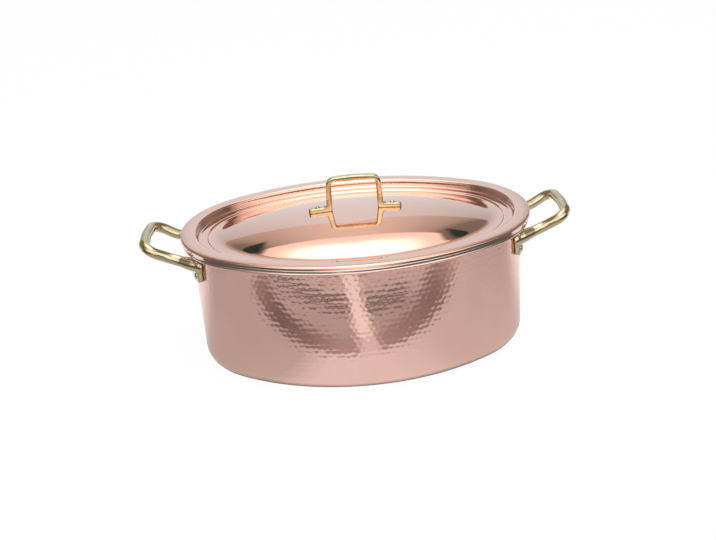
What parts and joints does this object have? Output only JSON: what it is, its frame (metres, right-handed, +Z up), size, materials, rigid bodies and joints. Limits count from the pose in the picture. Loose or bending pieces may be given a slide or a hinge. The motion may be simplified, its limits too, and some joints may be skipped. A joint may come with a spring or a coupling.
{
  "type": "oval stewpot",
  "caption": "Oval copper stewpot, tinned inside, with a stepped and domed lift-off lid under a bridge handle and a riveted brass loop handle at each end.",
  "frame": {"origin": "middle of the pot's flat underside, on the surface it stands on", "axes": "+Z up, +X along the oval's long axis from one end handle to the other, +Y to the back"},
  "size_m": [0.428, 0.242, 0.1814],
  "materials": {
    "copper": "copper, hammered satin on the pot, polished on the lid",
    "tin": "wiped tin, satin",
    "cast_brass": "cast brass, satin",
    "rivet_brass": "brass, satin"
  },
  "bodies": {
    "pot": {"pot_body": "copper", "pot_lining": "tin", "end_handle_left": "cast_brass", "end_handle_right": "cast_brass", "handle_rivet_left_front": "rivet_brass", "handle_rivet_left_rear": "rivet_brass", "handle_rivet_right_front": "rivet_brass", "handle_rivet_right_rear": "rivet_brass"},
    "lid": {"lid_shell": "copper", "lid_lining": "tin", "lid_handle": "cast_brass", "lid_rivet_left": "rivet_brass", "lid_rivet_right": "rivet_brass"}
  },
  "joints": [
    {"name": "lid_lift", "type": "slide", "parent": "pot", "child": "lid", "axis": [0, 0, 1], "range_m": [0, 0.15]}
  ]
}
